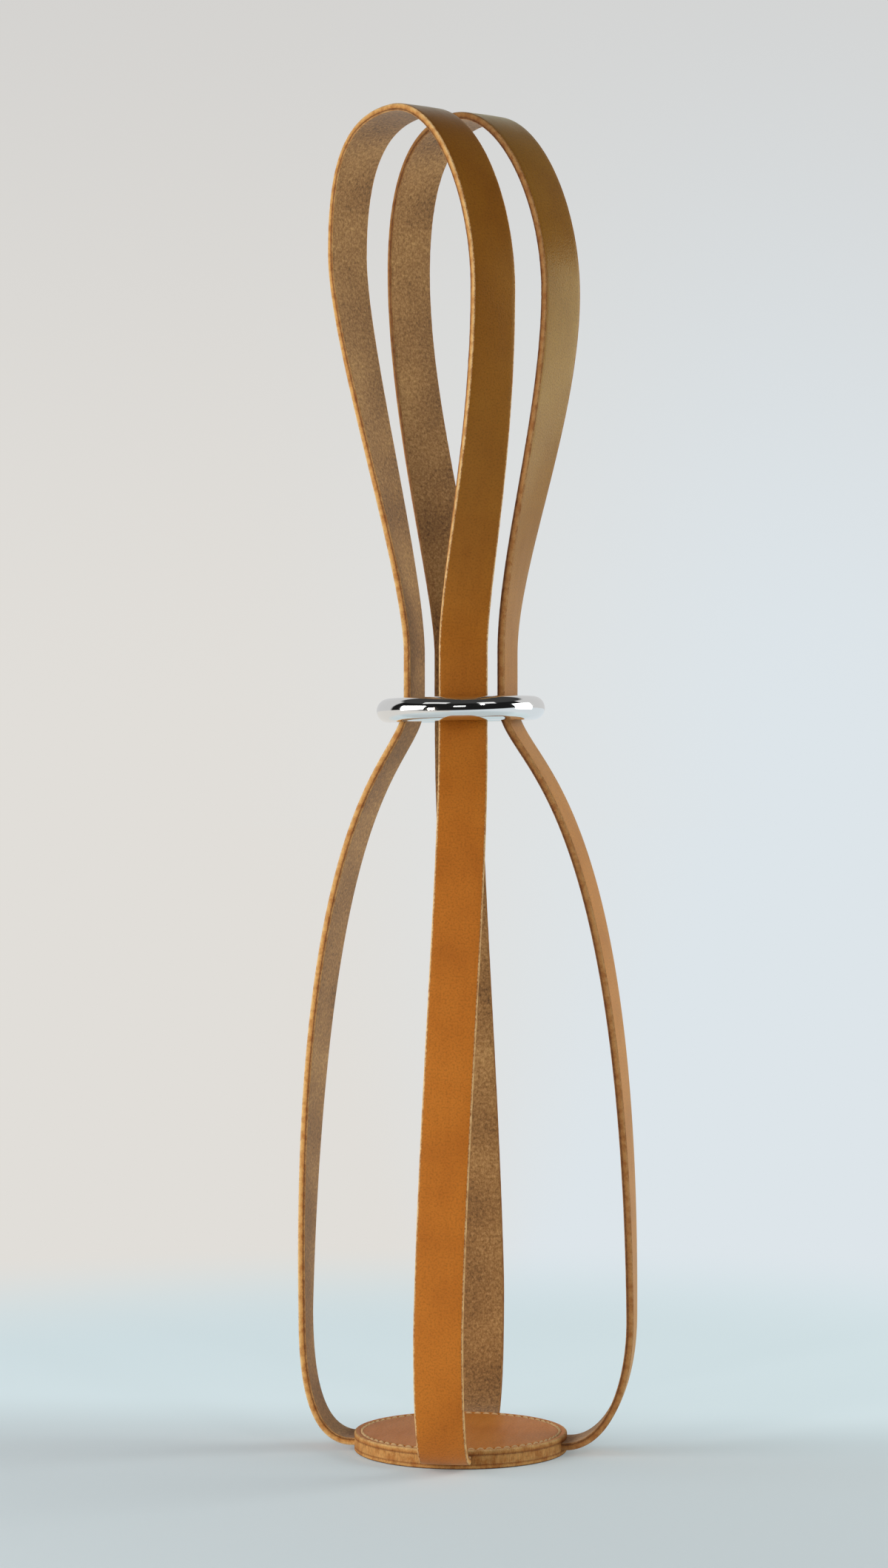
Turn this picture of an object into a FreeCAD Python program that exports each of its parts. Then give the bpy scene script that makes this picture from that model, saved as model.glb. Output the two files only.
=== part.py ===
import FreeCAD, Part

import math
import os

from FreeCAD import Vector

# Bottle carrier of two leather straps sewn into a round base and gathered by a ring at the neck.
# Millimetres, +Z up. The origin is the middle of the base's underside.
# The legs stand at -X (left), -Y (front), +X (right) and +Y (back).

# Straps
STRAP_WIDTH = 16.0
STRAP_THICKNESS = 2.5

# Base: two discs with the strap ends and four fillers sewn between them
BASE_DIAMETER = 71.0
BOTTOM_DISC_THICKNESS = 1.8
TOP_DISC_THICKNESS = 2.0
DISC_EDGE_ROUND = 0.5
LAYER_GAP = 0.1

# Stitching round the base
STITCH_PITCH = 3.05
STITCH_INSET = 2.5
STITCH_GAP = 0.15
THREAD_DIAMETER = 0.8
THREAD_CLEARANCE = 0.05
TOP_GROOVE_DEPTH = 0.5
BOTTOM_GROOVE_DEPTH = 0.9

# Legs: how far each bows out past the base's rim, how far it twists halfway up in degrees,
# and the heights and fullness of its bow
LEG_OVERHANG = {"left": 17.0, "front": 20.5, "right": 21.8, "back": 20.5}
LEG_TWIST = {"left": 8.5, "front": 0.0, "right": 2.3, "back": 0.0}
BELLY_HEIGHT = 45.0
FOOT_RUN_OUT = 14.0
FOOT_RUN_UP = 22.0
SHOULDER_RUN = 186.0
NECK_EASE = 23.0
NECK_HEIGHT = 250.0

# Neck: the legs stand upright there, each turned a little towards the next leg of the other strap
NECK_RUN = 15.5
NECK_GAP = 4.1
NECK_TURN = 10.25
TURN_ONSET = 1.3

# Ring
RING_WIRE = 8.0
RING_CLEARANCE = 0.67
RING_DROP = 3.0
RING_TRAVEL = 20.0

# Handle loops: each leg's half has its own widest place and fullness, and its top lies nearer the first leg
HANDLE_HALF_WIDTH = {"left": 43.7, "front": 36.7, "right": 39.2, "back": 43.8}
HANDLE_RISE = {"left": 136.5, "front": 116.8, "right": 117.4, "back": 132.3}
FLARE_EASE = {"left": 28.0, "front": 24.0, "right": 31.0, "back": 24.0}
WIDEST_EASE = {"left": 30.0, "front": 52.0, "right": 41.0, "back": 48.5}
HANDLE_GAP = 10.2
CROWN_RISE = 180.0
CROWN_SHIFT = 4.7
WIDEST_LEAN = 2.0
CROWN_LEAN = 5.0
WIDEST_TWIST = 39.5
CROWN_RUN_UP = 30.0
CROWN_RUN_IN = 25.0

# Bend of each handle above the ring's highest place
KNUCKLE_MARGIN = 0.5
KNUCKLE_GAP = 0.3
HINGE_CLEARANCE = 10.5

# Stations along each curve of a strap
FOOT_STATIONS = 14
SIDE_STATIONS = 20
NECK_STATIONS = 3
FLARE_STATIONS = 18
CROWN_STATIONS = 16

# Each leg's direction in plan, and the way it turns on its way up
LEGS = {"left": (180.0, -1), "front": (270.0, 1), "right": (0.0, -1), "back": (90.0, 1)}
# Each strap's two legs, and the way its loop leans with the pair
STRAPS = {"left_front": ("left", "front", 1), "back_right": ("back", "right", -1)}
# A loop lies midway between the directions of its two legs
LOOP_TURN = 45.0

# Worked-out sizes
UP = Vector(0, 0, 1)
BASE_RADIUS = BASE_DIAMETER / 2
STRAP_BOTTOM = BOTTOM_DISC_THICKNESS
STRAP_TOP = STRAP_BOTTOM + STRAP_THICKNESS
STRAP_MIDDLE = (STRAP_BOTTOM + STRAP_TOP) / 2
BASE_HEIGHT = STRAP_TOP + TOP_DISC_THICKNESS

STITCH_RADIUS = BASE_RADIUS - STITCH_INSET
STITCH_COUNT = round(2 * math.pi * STITCH_RADIUS / STITCH_PITCH)
STITCH_STEP = 360 / STITCH_COUNT
HOLE_RADIUS = THREAD_DIAMETER / 2 + THREAD_CLEARANCE

NECK_HALF_ANGLE = math.radians(LOOP_TURN - NECK_TURN)
NECK_INNER_RADIUS = (
    NECK_GAP / 2 + STRAP_WIDTH / 2 * math.cos(NECK_HALF_ANGLE)
) / math.sin(NECK_HALF_ANGLE)
NECK_RADIUS = NECK_INNER_RADIUS + STRAP_THICKNESS / 2
NECK_CORNER_RADIUS = math.hypot(NECK_INNER_RADIUS + STRAP_THICKNESS, STRAP_WIDTH / 2)

RING_BORE_RADIUS = NECK_CORNER_RADIUS + RING_CLEARANCE
RING_HEIGHT = NECK_HEIGHT - RING_DROP

KNUCKLE_RADIUS = STRAP_WIDTH / 2 + KNUCKLE_MARGIN
HINGE_HEIGHT = RING_HEIGHT + RING_TRAVEL + RING_WIRE / 2 + HINGE_CLEARANCE + KNUCKLE_RADIUS

FLARE_HEIGHT = NECK_HEIGHT + NECK_RUN
CROWN_HEIGHT = FLARE_HEIGHT + CROWN_RISE


def plan(angle, distance=1.0):
    """A level vector at an angle in degrees from +X."""
    turn = math.radians(angle)
    return Vector(distance * math.cos(turn), distance * math.sin(turn), 0)


def bezier(corners, fraction):
    """The point at a fraction of a cubic curve's run."""
    first, second, third, last = corners
    rest = 1 - fraction
    start = first * rest**3 + second * (3 * rest**2 * fraction)
    return start + third * (3 * rest * fraction**2) + last * fraction**3


def fractions(count):
    """Even steps from just after 0 up to 1."""
    return [(step + 1) / count for step in range(count)]


def ease(fraction):
    """A smooth start and stop between 0 and 1."""
    return fraction * fraction * (3 - 2 * fraction)


def loop_offset(strap, lean):
    """How far a loop's middle line stands from the carrier's axis."""
    direction = STRAPS[strap][2]
    return (STRAP_WIDTH + HANDLE_GAP) / 2 + direction * lean


def half_strap(strap, leg):
    """Points of half a strap and the way it faces there, from the base's rim to the top of its loop."""
    angle, side = LEGS[leg]
    belly_radius = BASE_RADIUS + LEG_OVERHANG[leg]
    rim = Vector(BASE_RADIUS, 0, STRAP_MIDDLE)
    belly = Vector(belly_radius, 0, BELLY_HEIGHT)
    neck = Vector(NECK_RADIUS, 0, NECK_HEIGHT)

    foot = (rim, rim + Vector(FOOT_RUN_OUT, 0, 0), belly - UP * FOOT_RUN_UP, belly)
    side_curve = (belly, belly + UP * SHOULDER_RUN, neck - UP * NECK_EASE, neck)
    stations = [(plan(angle, rim.x) + UP * rim.z, angle)]
    for fraction in fractions(FOOT_STATIONS):
        point = bezier(foot, fraction)
        stations.append((plan(angle, point.x) + UP * point.z, angle))
    for fraction in fractions(SIDE_STATIONS):
        point = bezier(side_curve, fraction)
        climb = (point.z - BELLY_HEIGHT) / (NECK_HEIGHT - BELLY_HEIGHT)
        turned = angle + side * NECK_TURN * climb**TURN_ONSET
        twist = side * LEG_TWIST[leg] * math.sin(math.pi * climb)
        stations.append((plan(turned, point.x) + UP * point.z, turned + twist))

    neck_facing = angle + side * NECK_TURN
    neck_place = plan(neck_facing, NECK_RADIUS)
    for fraction in fractions(NECK_STATIONS):
        stations.append((neck_place + UP * (NECK_HEIGHT + NECK_RUN * fraction), neck_facing))

    outward = plan(angle + side * LOOP_TURN)
    across = plan(angle - side * LOOP_TURN)
    flare_start = neck_place + UP * FLARE_HEIGHT
    widest = outward * HANDLE_HALF_WIDTH[leg] + across * loop_offset(strap, WIDEST_LEAN)
    widest += UP * (FLARE_HEIGHT + HANDLE_RISE[leg])
    shift = CROWN_SHIFT if leg == STRAPS[strap][0] else -CROWN_SHIFT
    crown = outward * shift + across * loop_offset(strap, CROWN_LEAN) + UP * CROWN_HEIGHT
    widest_facing = angle + side * WIDEST_TWIST
    crown_facing = angle + side * LOOP_TURN

    flare = (flare_start, flare_start + UP * FLARE_EASE[leg], widest - UP * WIDEST_EASE[leg], widest)
    for fraction in fractions(FLARE_STATIONS):
        facing = neck_facing + (widest_facing - neck_facing) * ease(fraction)
        stations.append((bezier(flare, fraction), facing))
    top = (widest, widest + UP * CROWN_RUN_UP, crown + outward * CROWN_RUN_IN, crown)
    for fraction in fractions(CROWN_STATIONS):
        facing = widest_facing + (crown_facing - widest_facing) * ease(fraction)
        stations.append((bezier(top, fraction), facing))
    return stations


def placed_sections(stations, start_tangent=None):
    """The four corners of the strap's section at each station, given its points and width directions."""
    points = [point for point, width in stations]
    sections = []
    for index, (point, width) in enumerate(stations):
        before = points[max(index - 1, 0)]
        after = points[min(index + 1, len(points) - 1)]
        tangent = (after - before).normalize()
        if index == 0 and start_tangent:
            tangent = start_tangent
        across = (width - tangent * width.dot(tangent)).normalize()
        outward = across.cross(tangent)
        half_width = across * (STRAP_WIDTH / 2)
        half_thickness = outward * (STRAP_THICKNESS / 2)
        sections.append((
            point - half_width + half_thickness,
            point + half_width + half_thickness,
            point + half_width - half_thickness,
            point - half_width - half_thickness,
        ))
    return sections


def strap_solid(stations, start_tangent=None):
    """A strap along its stations: four long faces between smooth corner lines, and two flat ends."""
    sections = placed_sections(stations, start_tangent)
    reach = [0.0]
    for index in range(1, len(stations)):
        reach.append(reach[-1] + stations[index][0].distanceToPoint(stations[index - 1][0]))
    corner_lines = []
    for corner in range(4):
        line = Part.BSplineCurve()
        line.interpolate(Points=[section[corner] for section in sections], Parameters=reach)
        corner_lines.append(line.toShape())
    faces = [Part.makeRuledSurface(corner_lines[corner - 1], corner_lines[corner]) for corner in range(4)]
    for section in (sections[0], sections[-1]):
        faces.append(Part.Face(Part.makePolygon(list(section) + [section[0]])))
    shell = Part.makeShell(faces)
    shell.sewShape()
    solid = Part.Solid(shell)
    if solid.Volume < 0:
        solid.reverse()
    return solid


def width_direction(facing):
    """The level direction across a strap that faces a given way."""
    return plan(facing + 90)


def leg_stations(strap, leg):
    """The part of a strap that stands below its bend, and a little more to be trimmed."""
    stations = half_strap(strap, leg)
    kept = [station for station in stations if station[0].z < HINGE_HEIGHT + KNUCKLE_RADIUS]
    return [(point, width_direction(facing)) for point, facing in kept]


def loop_stations(strap):
    """The part of a strap above its bend, from one leg over the top to the other, with trimming length."""
    first_leg, second_leg = STRAPS[strap][:2]
    lowest = HINGE_HEIGHT - 2 * KNUCKLE_RADIUS
    rising = [station for station in half_strap(strap, first_leg) if station[0].z > lowest]
    falling = [station for station in half_strap(strap, second_leg)[:-1] if station[0].z > lowest]
    stations = [(point, width_direction(facing)) for point, facing in rising]
    stations += [(point, -width_direction(facing)) for point, facing in reversed(falling)]
    return stations


def hinge_line(strap):
    """A point and direction of the line about which a strap's loop bends, through both its legs."""
    crossings = []
    for leg in STRAPS[strap][:2]:
        stations = half_strap(strap, leg)
        for (low, _), (high, _) in zip(stations, stations[1:]):
            if low.z <= HINGE_HEIGHT < high.z:
                crossings.append(low + (high - low) * ((HINGE_HEIGHT - low.z) / (high.z - low.z)))
    return crossings[0], (crossings[1] - crossings[0]).normalize()


def below_bend(strap, knuckle_radius):
    """The space below a loop's bend, hollowed to a round seat about the bend's line."""
    start, direction = hinge_line(strap)
    reach = 2 * (BASE_DIAMETER + max(LEG_OVERHANG.values()))
    block = Part.makeBox(reach, reach, HINGE_HEIGHT, Vector(-reach / 2, -reach / 2, 0))
    seat = Part.makeCylinder(knuckle_radius, 2 * reach, start - direction * reach, direction)
    return block.cut(seat)


def stitch_places():
    """The angle of each stitch hole round the base."""
    return [STITCH_STEP * index for index in range(STITCH_COUNT)]


def stitch_holes():
    """One upright hole through all the layers for each stitch."""
    hole = Part.makeCylinder(HOLE_RADIUS, BASE_HEIGHT, Vector(STITCH_RADIUS, 0, 0))
    holes = []
    for angle in stitch_places():
        copy = hole.copy()
        copy.rotate(Vector(), UP, angle)
        holes.append(copy)
    return Part.makeCompound(holes)


def stitch_groove(bottom, depth):
    """The round channel that the stitches lie in."""
    outer = Part.makeCylinder(STITCH_RADIUS + HOLE_RADIUS, depth, Vector(0, 0, bottom))
    return outer.cut(Part.makeCylinder(STITCH_RADIUS - HOLE_RADIUS, depth, Vector(0, 0, bottom)))


def disc(bottom, thickness):
    """One round layer of the base with its rim rounded over."""
    plain = Part.makeCylinder(BASE_RADIUS, thickness, Vector(0, 0, bottom))
    rims = [edge for edge in plain.Edges if edge.isClosed() and isinstance(edge.Curve, Part.Circle)]
    return plain.makeFillet(min(DISC_EDGE_ROUND, 0.45 * thickness), rims)


def base_bottom_disc(holes):
    """The disc that the carrier stands on, with its stitches sunk into it."""
    return disc(0, BOTTOM_DISC_THICKNESS).cut(stitch_groove(0, BOTTOM_GROOVE_DEPTH)).cut(holes)


def base_top_disc(holes):
    """The disc that carries the bottle."""
    groove = stitch_groove(BASE_HEIGHT - TOP_GROOVE_DEPTH, TOP_GROOVE_DEPTH)
    return disc(STRAP_TOP, TOP_DISC_THICKNESS).cut(groove).cut(holes)


def base_filler(angle, holes):
    """A quarter of the middle layer, between two strap ends, cut for the leg at an angle and the next."""
    inset = STRAP_WIDTH / 2 + LAYER_GAP
    layer = Part.makeCylinder(BASE_RADIUS, STRAP_THICKNESS, Vector(0, 0, STRAP_BOTTOM))
    quarter = Part.makeBox(BASE_RADIUS, BASE_RADIUS, STRAP_THICKNESS, Vector(inset, inset, STRAP_BOTTOM))
    filler = layer.common(quarter)
    filler.rotate(Vector(), UP, angle)
    return filler.cut(holes)


def tongue(leg):
    """The end of a leg inside the base: side legs meet in the middle, front and back ones meet their sides."""
    angle = LEGS[leg][0]
    inner_end = LAYER_GAP / 2
    if leg in ("front", "back"):
        inner_end = STRAP_WIDTH / 2 + LAYER_GAP
    corner = Vector(inner_end, -STRAP_WIDTH / 2, STRAP_BOTTOM)
    box = Part.makeBox(BASE_RADIUS - inner_end, STRAP_WIDTH, STRAP_THICKNESS, corner)
    box.rotate(Vector(), UP, angle)
    return box


def strap_leg(strap, leg, holes):
    """One leg of a strap with its end inside the base."""
    standing = strap_solid(leg_stations(strap, leg), plan(LEGS[leg][0]))
    standing = standing.common(below_bend(strap, KNUCKLE_RADIUS + KNUCKLE_GAP))
    return tongue(leg).fuse(standing).removeSplitter().cut(holes)


def strap_loop(strap):
    """The handle loop of a strap, with ends rounded about the line where it bends."""
    return strap_solid(loop_stations(strap)).cut(below_bend(strap, KNUCKLE_RADIUS))


def stitch():
    """One stitch: a thread down through its hole, and a bar on each side towards the next hole."""
    radius = THREAD_DIAMETER / 2
    start = Vector(STITCH_RADIUS, 0, 0)
    chord = plan(STITCH_STEP, STITCH_RADIUS) - start
    length = chord.Length - radius - STITCH_GAP
    low = start + UP * (BOTTOM_GROOVE_DEPTH - THREAD_CLEARANCE - radius)
    high = start + UP * (BASE_HEIGHT - TOP_GROOVE_DEPTH + THREAD_CLEARANCE + radius)
    thread = Part.makeCylinder(radius, high.z - low.z, low)
    for end in (low, high):
        bar = Part.makeCylinder(radius, length, end, chord)
        thread = thread.fuse(bar).fuse(Part.makeSphere(radius, end))
    return thread


def base_stitching():
    """All the stitches round the base."""
    first = stitch()
    stitches = []
    for angle in stitch_places():
        copy = first.copy()
        copy.rotate(Vector(), UP, angle)
        stitches.append(copy)
    return Part.makeCompound(stitches)


def neck_ring():
    """The round wire ring about the four legs."""
    wire_radius = RING_WIRE / 2
    return Part.makeTorus(RING_BORE_RADIUS + wire_radius, wire_radius, Vector(0, 0, RING_HEIGHT))


def build():
    """Every piece by its name."""
    holes = stitch_holes()
    pieces = {
        "base_bottom_disc": base_bottom_disc(holes),
        "base_top_disc": base_top_disc(holes),
        "base_filler_right_back": base_filler(0, holes),
        "base_filler_back_left": base_filler(90, holes),
        "base_filler_left_front": base_filler(180, holes),
        "base_filler_front_right": base_filler(270, holes),
        "base_stitching": base_stitching(),
        "neck_ring": neck_ring(),
    }
    for strap, (first_leg, second_leg, _) in STRAPS.items():
        for leg in (first_leg, second_leg):
            pieces[leg + "_leg"] = strap_leg(strap, leg, holes)
        pieces[strap + "_loop"] = strap_loop(strap)
    return pieces


os.makedirs("parts", exist_ok=True)
for name, shape in build().items():
    shape.exportStep("parts/" + name + ".step")
    print(name, shape.isValid(), len(shape.Solids), round(shape.Volume, 2))
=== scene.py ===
import math

import bpy
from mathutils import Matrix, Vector, noise


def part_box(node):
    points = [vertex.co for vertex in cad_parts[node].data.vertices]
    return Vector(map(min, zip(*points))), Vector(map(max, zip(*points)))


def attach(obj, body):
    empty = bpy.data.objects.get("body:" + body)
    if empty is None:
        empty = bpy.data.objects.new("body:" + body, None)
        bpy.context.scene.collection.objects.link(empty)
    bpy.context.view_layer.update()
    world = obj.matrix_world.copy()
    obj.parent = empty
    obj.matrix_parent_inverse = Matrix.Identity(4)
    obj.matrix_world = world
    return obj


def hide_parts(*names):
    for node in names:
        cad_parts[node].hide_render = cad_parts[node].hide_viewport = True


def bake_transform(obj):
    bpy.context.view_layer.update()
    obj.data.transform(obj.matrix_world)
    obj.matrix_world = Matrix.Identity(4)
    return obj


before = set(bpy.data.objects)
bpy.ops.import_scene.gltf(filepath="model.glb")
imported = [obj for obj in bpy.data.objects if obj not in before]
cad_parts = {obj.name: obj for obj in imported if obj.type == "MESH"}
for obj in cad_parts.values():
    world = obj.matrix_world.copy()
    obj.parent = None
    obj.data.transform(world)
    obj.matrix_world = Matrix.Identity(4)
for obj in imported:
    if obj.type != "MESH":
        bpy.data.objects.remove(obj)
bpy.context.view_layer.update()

# Looks of the leather bottle carrier. Lengths are in millimetres and angles in degrees unless a comment
# says otherwise, and meshes are scaled to metres when they are made.
MM = 0.001
UP = Vector((0, 0, 1))
RIGHT_ANGLE = 90
FULL_TURN = 2 * math.pi


def node_box(node):
    """A frame node's lowest and highest corners in millimetres."""
    low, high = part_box(node)
    return low / MM, high / MM


# Sizes read from the frame
BOTTOM_DISC_LOW, BOTTOM_DISC_HIGH = node_box("base_bottom_disc")
TOP_DISC_LOW, TOP_DISC_HIGH = node_box("base_top_disc")
RING_LOW, RING_HIGH = node_box("neck_ring")
BASE_RADIUS = TOP_DISC_HIGH.x
STRAP_THICKNESS = TOP_DISC_LOW.z - BOTTOM_DISC_HIGH.z
STRAP_MIDDLE = (TOP_DISC_LOW.z + BOTTOM_DISC_HIGH.z) / 2
RING_WIRE = RING_HIGH.z - RING_LOW.z
RING_RADIUS = RING_HIGH.x - RING_WIRE / 2
RING_HEIGHT = (RING_HIGH.z + RING_LOW.z) / 2

# Legs of the straps, with the values of the part's source
STRAP_WIDTH = 16.0
LEG_OVERHANG = {"left": 17.0, "front": 20.5, "right": 21.8, "back": 20.5}
LEG_TWIST = {"left": 8.5, "front": 0.0, "right": 2.3, "back": 0.0}
BELLY_HEIGHT = 45.0
FOOT_RUN_OUT = 14.0
FOOT_RUN_UP = 22.0
SHOULDER_RUN = 186.0
NECK_EASE = 23.0
NECK_HEIGHT = 250.0
NECK_RUN = 15.5
NECK_GAP = 4.1
NECK_TURN = 10.25
TURN_ONSET = 1.3

# Handle loops, with the values of the part's source
HANDLE_HALF_WIDTH = {"left": 43.7, "front": 36.7, "right": 39.2, "back": 43.8}
HANDLE_RISE = {"left": 136.5, "front": 116.8, "right": 117.4, "back": 132.3}
FLARE_EASE = {"left": 28.0, "front": 24.0, "right": 31.0, "back": 24.0}
WIDEST_EASE = {"left": 30.0, "front": 52.0, "right": 41.0, "back": 48.5}
HANDLE_GAP = 10.2
CROWN_RISE = 180.0
CROWN_SHIFT = 4.7
WIDEST_LEAN = 2.0
CROWN_LEAN = 5.0
WIDEST_TWIST = 39.5
CROWN_RUN_UP = 30.0
CROWN_RUN_IN = 25.0
LOOP_TURN = 45.0

# Each leg's angle from +X, and the side that it turns to on its way up
LEGS = {"left": (180.0, -1), "front": (270.0, 1), "right": (0.0, -1), "back": (90.0, 1)}
# Each strap's two legs, the way that its loop leans and the body of its loop
STRAPS = {
    "left_front": ("left", "front", 1, "front_handle"),
    "back_right": ("back", "right", -1, "back_handle"),
}
NECK_HALF_ANGLE = math.radians(LOOP_TURN - NECK_TURN)
NECK_RADIUS = STRAP_THICKNESS / 2 + (
    NECK_GAP / 2 + STRAP_WIDTH / 2 * math.cos(NECK_HALF_ANGLE)
) / math.sin(NECK_HALF_ANGLE)
FLARE_HEIGHT = NECK_HEIGHT + NECK_RUN
CROWN_HEIGHT = FLARE_HEIGHT + CROWN_RISE
# Where the strap ends stop inside the closed base, from its middle
TONGUE_END = 9.0

# Steps of the strap's mesh along it, and how long a curve is beside the way round its corners
STRAP_STEP = 1.0
TONGUE_STEP = 2.0
CURVE_SHARE = 0.93
FEWEST_STEPS = 3

# Section of the strap: the round of its corners, its crown and the steps of its mesh
GRAIN_CORNER = 0.55
FLESH_CORNER = 0.35
GRAIN_CROWN = 0.10
FACE_STEPS = 12
CORNER_STEPS = 4
EDGE_STEPS = 4

# Unevenness of the strap's cut edges and of its nap, and the places in the noise that it comes from
EDGE_WANDER = 0.07
EDGE_MARGIN = 1.0
EDGE_NOISE_SIDE = 40.0
EDGE_NOISE_RUN = 5.0
EDGE_NOISE_DEPTH = 2.0
FLESH_WANDER = 0.09
NAP_ON_FACE = 0.4
NAP_NOISE_ACROSS = 0.9
NAP_NOISE_ALONG = 0.8
NAP_NOISE_LAYER = 11.0
STRAP_SEED_STEP = 17.0
SEED_SKEW = 0.37

# Heights between which a painted shade darkens the straps upward towards the handles, and handling
# polishes them
UPWARD_SHADE_AND_POLISH_START = 180.0
UPWARD_SHADE_AND_POLISH_FULL = 345.0

# Discs of the base: rounds of the rim, steps of the mesh, stitching groove and uneven rim
RIM_ROUND = 0.6
SEAM_ROUND = 0.15
FLAT_SHARES = (0.12, 0.3, 0.5, 0.7, 0.82)
GROOVE_OFFSETS = (-1.9, -1.3, -0.9, -0.55, -0.25, 0, 0.25, 0.55, 0.9, 1.3)
RIM_CORNER_STEPS = 5
RIM_SIDE_STEPS = 4
DISC_STEPS_PER_STITCH = 8
TOP_GROOVE_DEPTH = 0.28
BOTTOM_GROOVE_DEPTH = 0.45
GROOVE_HALF_WIDTH = 0.75
DIMPLE_RADIUS = 0.55
DISC_EDGE_WANDER = 0.06
RIM_NOISE_SCALE = 0.8
RIM_NOISE_HEIGHT = 3
TOP_DISC_SEED = 29.0
BOTTOM_DISC_SEED = 3.0

# Stitching round the base
STITCH_INSET = 2.5
STITCH_COUNT = 68
STITCH_RADIUS = BASE_RADIUS - STITCH_INSET
STITCH_START = 0.10
STITCH_SHARE = 0.80
STITCH_ARCH = 0.55
TOP_THREAD_SINK = 1.0
TOP_THREAD_RISE = 0.94
BOTTOM_THREAD_SINK = 1.1
BOTTOM_THREAD_RISE = 0.62
THREAD_RADIUS = 0.4
THREAD_PLIES = 2
THREAD_TWISTS = 1.6
THREAD_VALLEY = 0.84
THREAD_SIDES = 14
THREAD_RINGS = 15
TWIST_STEP = 1.7

# Ring
RING_TILT = 1.1
RING_STEPS = 160
RING_SIDES = 48

# Camera, for the photograph's frame of 1200 by 2119 pixels
FRAME_WIDTH_PX = 1200
FRAME_HEIGHT_PX = 2119
FOCAL_PX = 4860.0
AXIS_X_PX = 622.6
CAMERA_DISTANCE = 1200.0
CAMERA_HEIGHT = 228.0
CAMERA_AZIMUTH = 7.35
CAMERA_PITCH = 0.28


def plan(angle, distance=1.0):
    """A level vector at an angle from +X."""
    turn = math.radians(angle)
    return Vector((distance * math.cos(turn), distance * math.sin(turn), 0))


def turned_point(point, angle):
    """A point of a leg's own upright plane, turned to an angle round the base."""
    return plan(angle, point.x) + UP * point.z


def bezier(corners, fraction):
    """The point at a fraction of a cubic curve's run."""
    first, second, third, last = corners
    rest = 1 - fraction
    start = first * rest**3 + second * (3 * rest**2 * fraction)
    return start + third * (3 * rest * fraction**2) + last * fraction**3


def ease(fraction):
    """A smooth start and stop between 0 and 1."""
    return fraction * fraction * (3 - 2 * fraction)


def limited(value):
    """A value kept between 0 and 1."""
    return min(1.0, max(0.0, value))


def curve_fractions(corners):
    """Fractions of a curve about one step of the strap's mesh apart."""
    length = sum((after - before).length for before, after in zip(corners, corners[1:]))
    count = max(FEWEST_STEPS, round(CURVE_SHARE * length / STRAP_STEP))
    return [(step + 1) / count for step in range(count)]


def leg_stations(leg):
    """Points of a leg and the way it faces, from inside the base to the end of the neck."""
    angle, side = LEGS[leg]
    tongue = Vector((TONGUE_END, 0, STRAP_MIDDLE))
    rim = Vector((BASE_RADIUS, 0, STRAP_MIDDLE))
    belly = Vector((BASE_RADIUS + LEG_OVERHANG[leg], 0, BELLY_HEIGHT))
    neck = Vector((NECK_RADIUS, 0, NECK_HEIGHT))
    foot = (rim, rim + Vector((FOOT_RUN_OUT, 0, 0)), belly - UP * FOOT_RUN_UP, belly)
    shoulder = (belly, belly + UP * SHOULDER_RUN, neck - UP * NECK_EASE, neck)

    tongue_steps = round((BASE_RADIUS - TONGUE_END) / TONGUE_STEP)
    low_points = [tongue.lerp(rim, step / tongue_steps) for step in range(tongue_steps + 1)]
    low_points += [bezier(foot, fraction) for fraction in curve_fractions(foot)]
    stations = [(turned_point(point, angle), angle) for point in low_points]
    for fraction in curve_fractions(shoulder):
        point = bezier(shoulder, fraction)
        climb = (point.z - BELLY_HEIGHT) / (NECK_HEIGHT - BELLY_HEIGHT)
        turned = angle + side * NECK_TURN * climb**TURN_ONSET
        twist = side * LEG_TWIST[leg] * math.sin(math.pi * climb)
        stations.append((turned_point(point, turned), turned + twist))

    neck_facing = angle + side * NECK_TURN
    neck_steps = round(NECK_RUN / STRAP_STEP)
    for step in range(neck_steps):
        height = NECK_HEIGHT + NECK_RUN * (step + 1) / neck_steps
        stations.append((plan(neck_facing, NECK_RADIUS) + UP * height, neck_facing))
    return stations


def loop_stations(leg, lean_direction, crown_shift):
    """Points of half a handle loop and the way it faces, from the neck to the top of the loop."""
    angle, side = LEGS[leg]
    neck_facing = angle + side * NECK_TURN
    widest_facing = angle + side * WIDEST_TWIST
    crown_facing = angle + side * LOOP_TURN
    outward = plan(angle + side * LOOP_TURN)
    across = plan(angle - side * LOOP_TURN)
    middle_offset = (STRAP_WIDTH + HANDLE_GAP) / 2
    start = plan(neck_facing, NECK_RADIUS) + UP * FLARE_HEIGHT
    widest = outward * HANDLE_HALF_WIDTH[leg] + UP * (FLARE_HEIGHT + HANDLE_RISE[leg])
    widest += across * (middle_offset + lean_direction * WIDEST_LEAN)
    crown = across * (middle_offset + lean_direction * CROWN_LEAN)
    crown += outward * crown_shift + UP * CROWN_HEIGHT
    flare = (start, start + UP * FLARE_EASE[leg], widest - UP * WIDEST_EASE[leg], widest)
    top = (widest, widest + UP * CROWN_RUN_UP, crown + outward * CROWN_RUN_IN, crown)
    stretches = ((flare, neck_facing, widest_facing), (top, widest_facing, crown_facing))
    stations = []
    for curve, first_facing, last_facing in stretches:
        for fraction in curve_fractions(curve):
            facing = first_facing + (last_facing - first_facing) * ease(fraction)
            stations.append((bezier(curve, fraction), facing))
    return stations


def strap_stations(strap):
    """Points and width directions along a whole strap, from one end in the base to the other."""
    first_leg, second_leg, lean_direction, _ = STRAPS[strap]
    rising = leg_stations(first_leg) + loop_stations(first_leg, lean_direction, CROWN_SHIFT)
    falling = leg_stations(second_leg) + loop_stations(second_leg, lean_direction, -CROWN_SHIFT)
    stations = [(point, plan(facing + RIGHT_ANGLE)) for point, facing in rising]
    stations += [(point, -plan(facing + RIGHT_ANGLE)) for point, facing in reversed(falling[:-1])]
    return stations


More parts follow.
